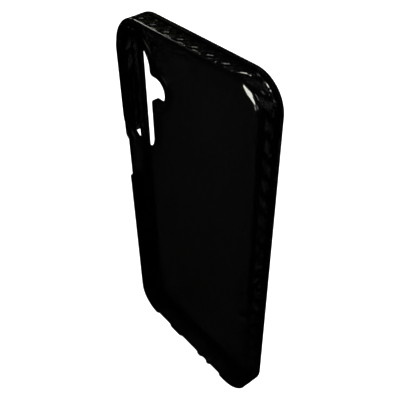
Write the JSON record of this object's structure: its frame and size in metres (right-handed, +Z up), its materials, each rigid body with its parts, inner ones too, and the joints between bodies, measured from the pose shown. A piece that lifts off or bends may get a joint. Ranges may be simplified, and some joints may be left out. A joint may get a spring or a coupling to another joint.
{
  "type": "phone case",
  "caption": "Slim smoke-tinted phone case with rounded corners, a raised camera bezel, a braided grip band round the sides and sprung volume key covers.",
  "frame": {"origin": "middle of the face of the back panel that the phone's back lies on, on the case's centre line and half-way up its length", "axes": "+Z runs up the length of the case to its top edge, +Y from the back panel to the open front, +X to the right seen from the back"},
  "size_m": [0.0815, 0.0129, 0.1656],
  "materials": {
    "smoke_panel": "polished clear polycarbonate with a dense smoke tint",
    "smoke_bezel": "polished smoke-tinted polycarbonate",
    "smoke_frame": "glossy smoke-tinted elastomer",
    "smoke_lip": "glossy smoke-tinted elastomer",
    "smoke_grip": "glossy smoke-tinted elastomer moulded with a braided relief",
    "smoke_key": "satin smoke-tinted elastomer"
  },
  "bodies": {
    "case_shell": {"back_panel": "smoke_panel", "camera_bezel": "smoke_bezel", "bumper_frame": "smoke_frame", "front_lip": "smoke_lip", "grip_band_main": "smoke_grip", "grip_band_lower_left": "smoke_grip", "grip_pad_speaker_side": "smoke_grip", "grip_pad_microphone_side": "smoke_grip", "grip_pad_headphone_side": "smoke_grip", "volume_up_web": "smoke_key", "volume_down_web": "smoke_key"},
    "volume_up_key": {"volume_up_cover": "smoke_key"},
    "volume_down_key": {"volume_down_cover": "smoke_key"}
  },
  "joints": [
    {"name": "volume_up_press", "type": "slide", "parent": "case_shell", "child": "volume_up_key", "axis": [1, 0, 0], "range_m": [0, 0.0004], "stiffness_N_per_m": 2500},
    {"name": "volume_down_press", "type": "slide", "parent": "case_shell", "child": "volume_down_key", "axis": [1, 0, 0], "range_m": [0, 0.0004], "stiffness_N_per_m": 2500}
  ]
}
